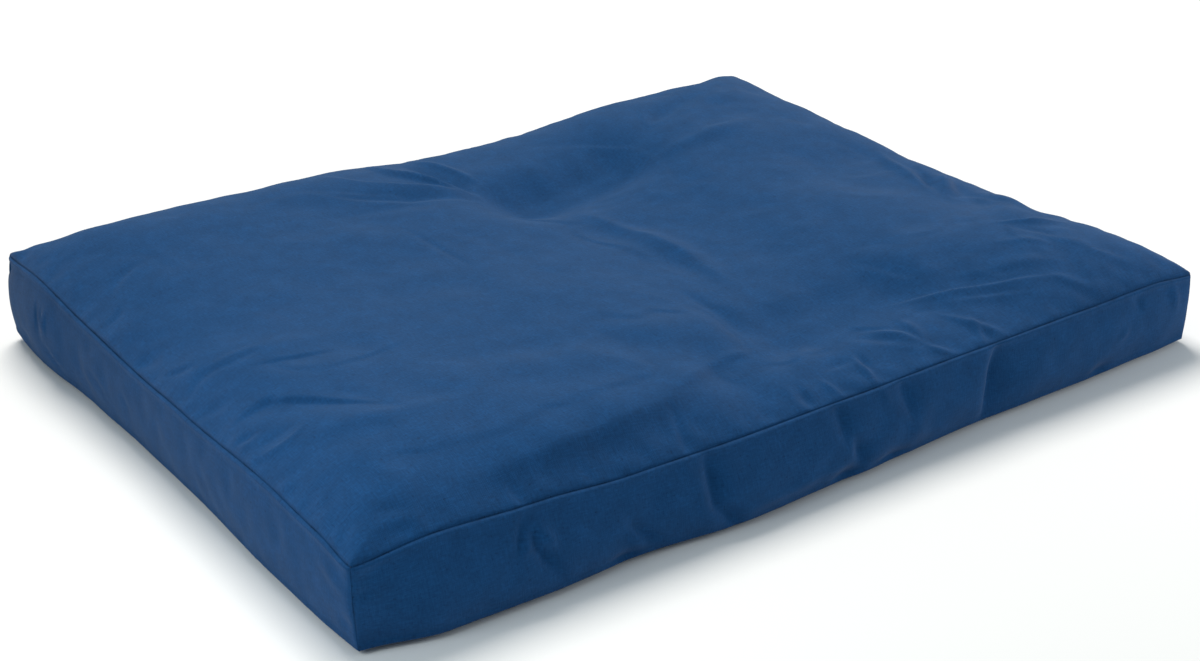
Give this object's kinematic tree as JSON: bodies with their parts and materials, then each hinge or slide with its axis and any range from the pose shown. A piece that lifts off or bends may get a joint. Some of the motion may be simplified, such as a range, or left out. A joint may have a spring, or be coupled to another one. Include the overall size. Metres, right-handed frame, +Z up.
{
  "type": "zabuton floor cushion",
  "caption": "Rectangular filled floor cushion of blue cotton canvas, boxed with a gusset strip, for sitting or kneeling on.",
  "frame": {"origin": "under the middle of the cushion, on the surface it lies on", "axes": "+X along the long sides, +Y along the short sides, +Z up through the crown"},
  "size_m": [0.8822, 0.7194, 0.1199],
  "materials": {
    "canvas": "plain woven cotton canvas, matt"
  },
  "bodies": {
    "root": {"cushion": "canvas"}
  },
  "joints": []
}
